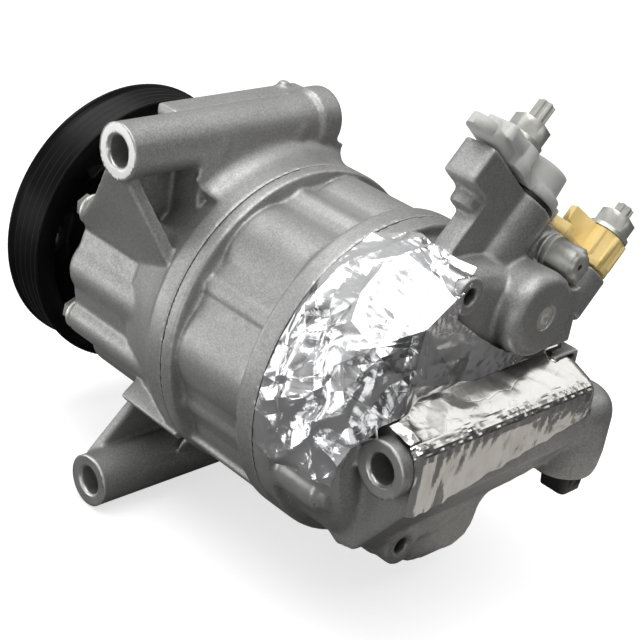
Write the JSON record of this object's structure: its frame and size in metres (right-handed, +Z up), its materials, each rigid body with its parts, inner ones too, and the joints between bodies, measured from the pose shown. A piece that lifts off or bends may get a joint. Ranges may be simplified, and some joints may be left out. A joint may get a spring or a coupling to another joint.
{
  "type": "automotive ac compressor",
  "caption": "Variable-displacement swash-plate air-conditioning compressor with a poly-V pulley, side mounting tubes, capped port flanges and a foil heat shield.",
  "frame": {"origin": "on the shaft axis at the middle of the pulley's belt track", "axes": "-Y along the shaft out of the pulley end, +Y towards the port end, +Z up, +X towards the faces of the mounting tubes"},
  "size_m": [0.1528, 0.2232, 0.1783],
  "materials": {
    "cast_aluminium": "as-cast, slightly grainy, machined seats",
    "gasket_rubber_metal": "rubber-coated steel gasket",
    "valve_steel": "ground",
    "zinc_steel": "zinc plated",
    "black_pulley": "black coated",
    "black_rubber": "matte",
    "bearing_steel": "ground and polished",
    "brown_plastic": "moulded polyamide",
    "spring_steel": "drawn wire",
    "cast_iron_swash": "machined",
    "machined_aluminium": "machined, coated skirt",
    "brass_valve": "turned",
    "black_plastic": "moulded",
    "grey_plastic": "moulded, ribbed",
    "amber_plastic": "translucent amber",
    "foil": "crumpled bright foil"
  },
  "bodies": {
    "casing": {"front_housing": "cast_aluminium", "cylinder_block": "cast_aluminium", "rear_housing": "cast_aluminium", "front_gasket": "gasket_rubber_metal", "rear_gasket": "gasket_rubber_metal", "suction_reed_plate": "valve_steel", "valve_plate": "valve_steel", "discharge_reed_plate": "valve_steel", "retainer_gasket": "gasket_rubber_metal", "through_bolts": "zinc_steel", "dowel_pins": "bearing_steel", "bearing_inner_ring": "bearing_steel", "bearing_circlip": "bearing_steel", "shaft_seal": "black_rubber", "seal_circlip": "bearing_steel", "front_needle_cup": "bearing_steel", "front_thrust_washer": "bearing_steel", "rear_thrust_washer": "bearing_steel", "rear_needle_cup": "bearing_steel", "pistons": "machined_aluminium", "piston_shoes": "bearing_steel", "check_valve_seat": "valve_steel", "check_valve_spring": "spring_steel", "muffler_plug": "zinc_steel", "relief_valve_body": "zinc_steel", "relief_valve_spring": "spring_steel", "control_valve_body": "brass_valve", "control_valve_orings": "black_rubber", "control_valve_solenoid": "black_plastic", "control_valve_spring": "spring_steel", "control_valve_connector": "black_plastic", "port_studs": "zinc_steel", "heat_shield_foil": "foil"},
    "rotor": {"pulley": "black_pulley", "bearing_outer_ring": "bearing_steel", "bearing_seals": "black_rubber", "drive_hub": "zinc_steel", "hub_dampers": "black_rubber", "hub_nut": "zinc_steel", "shaft": "bearing_steel", "lug_plate": "cast_iron_swash", "hinge_pin": "bearing_steel", "swash_plate": "cast_iron_swash", "destroke_spring": "spring_steel", "return_spring": "spring_steel", "rear_thrust_ring": "bearing_steel"},
    "pulley_ball_set": {"bearing_balls": "bearing_steel", "bearing_cage": "brown_plastic"},
    "front_needle_set": {"front_needles": "bearing_steel"},
    "rear_needle_set": {"rear_needles": "bearing_steel"},
    "front_roller_set": {"front_thrust_rollers": "bearing_steel"},
    "rear_roller_set": {"rear_thrust_rollers": "bearing_steel"},
    "valve_plunger": {"control_valve_plunger": "brass_valve"},
    "check_poppet": {"check_valve_poppet": "valve_steel"},
    "relief_poppet": {"relief_valve_poppet": "valve_steel"},
    "suction_cap": {"suction_port_cap": "grey_plastic", "suction_cap_seal": "black_rubber", "suction_cap_nut": "zinc_steel"},
    "discharge_cap": {"discharge_port_cap": "amber_plastic", "discharge_cap_nut": "zinc_steel"}
  },
  "joints": [
    {"name": "shaft_spin", "type": "hinge", "parent": "casing", "child": "rotor", "pos_m": [0, 0, 0], "axis": [0, 1, 0], "continuous": true},
    {"name": "pulley_ball_orbit", "type": "hinge", "parent": "casing", "child": "pulley_ball_set", "pos_m": [0, 0, 0], "axis": [0, 1, 0], "continuous": true},
    {"name": "front_needle_orbit", "type": "hinge", "parent": "casing", "child": "front_needle_set", "pos_m": [0, 0, 0], "axis": [0, 1, 0], "continuous": true},
    {"name": "rear_needle_orbit", "type": "hinge", "parent": "casing", "child": "rear_needle_set", "pos_m": [0, 0, 0], "axis": [0, 1, 0], "continuous": true},
    {"name": "front_roller_orbit", "type": "hinge", "parent": "casing", "child": "front_roller_set", "pos_m": [0, 0, 0], "axis": [0, 1, 0], "continuous": true},
    {"name": "rear_roller_orbit", "type": "hinge", "parent": "casing", "child": "rear_roller_set", "pos_m": [0, 0, 0], "axis": [0, 1, 0], "continuous": true},
    {"name": "valve_plunger_stroke", "type": "slide", "parent": "casing", "child": "valve_plunger", "axis": [0, 0, 1], "range_m": [0, 0.0008], "deforming": ["control_valve_spring"]},
    {"name": "check_poppet_lift", "type": "slide", "parent": "casing", "child": "check_poppet", "axis": [0, 1, 0], "range_m": [0, 0.003], "deforming": ["check_valve_spring"]},
    {"name": "relief_poppet_lift", "type": "slide", "parent": "casing", "child": "relief_poppet", "axis": [0, 1, 0], "range_m": [0, 0.0015], "deforming": ["relief_valve_spring"]},
    {"name": "suction_cap_lift", "type": "slide", "parent": "casing", "child": "suction_cap", "axis": [-0.6691, 0, 0.7431], "range_m": [0, 0.035]},
    {"name": "discharge_cap_lift", "type": "slide", "parent": "casing", "child": "discharge_cap", "axis": [-0.6691, 0, 0.7431], "range_m": [0, 0.035]}
  ],
  "couplings": [
    {"joint": "pulley_ball_orbit", "follows": "shaft_spin", "ratio": 0.5667},
    {"joint": "front_needle_orbit", "follows": "shaft_spin", "ratio": 0.4217},
    {"joint": "rear_needle_orbit", "follows": "shaft_spin", "ratio": 0.4369},
    {"joint": "front_roller_orbit", "follows": "shaft_spin", "ratio": 0.5},
    {"joint": "rear_roller_orbit", "follows": "shaft_spin", "ratio": 0.5}
  ]
}
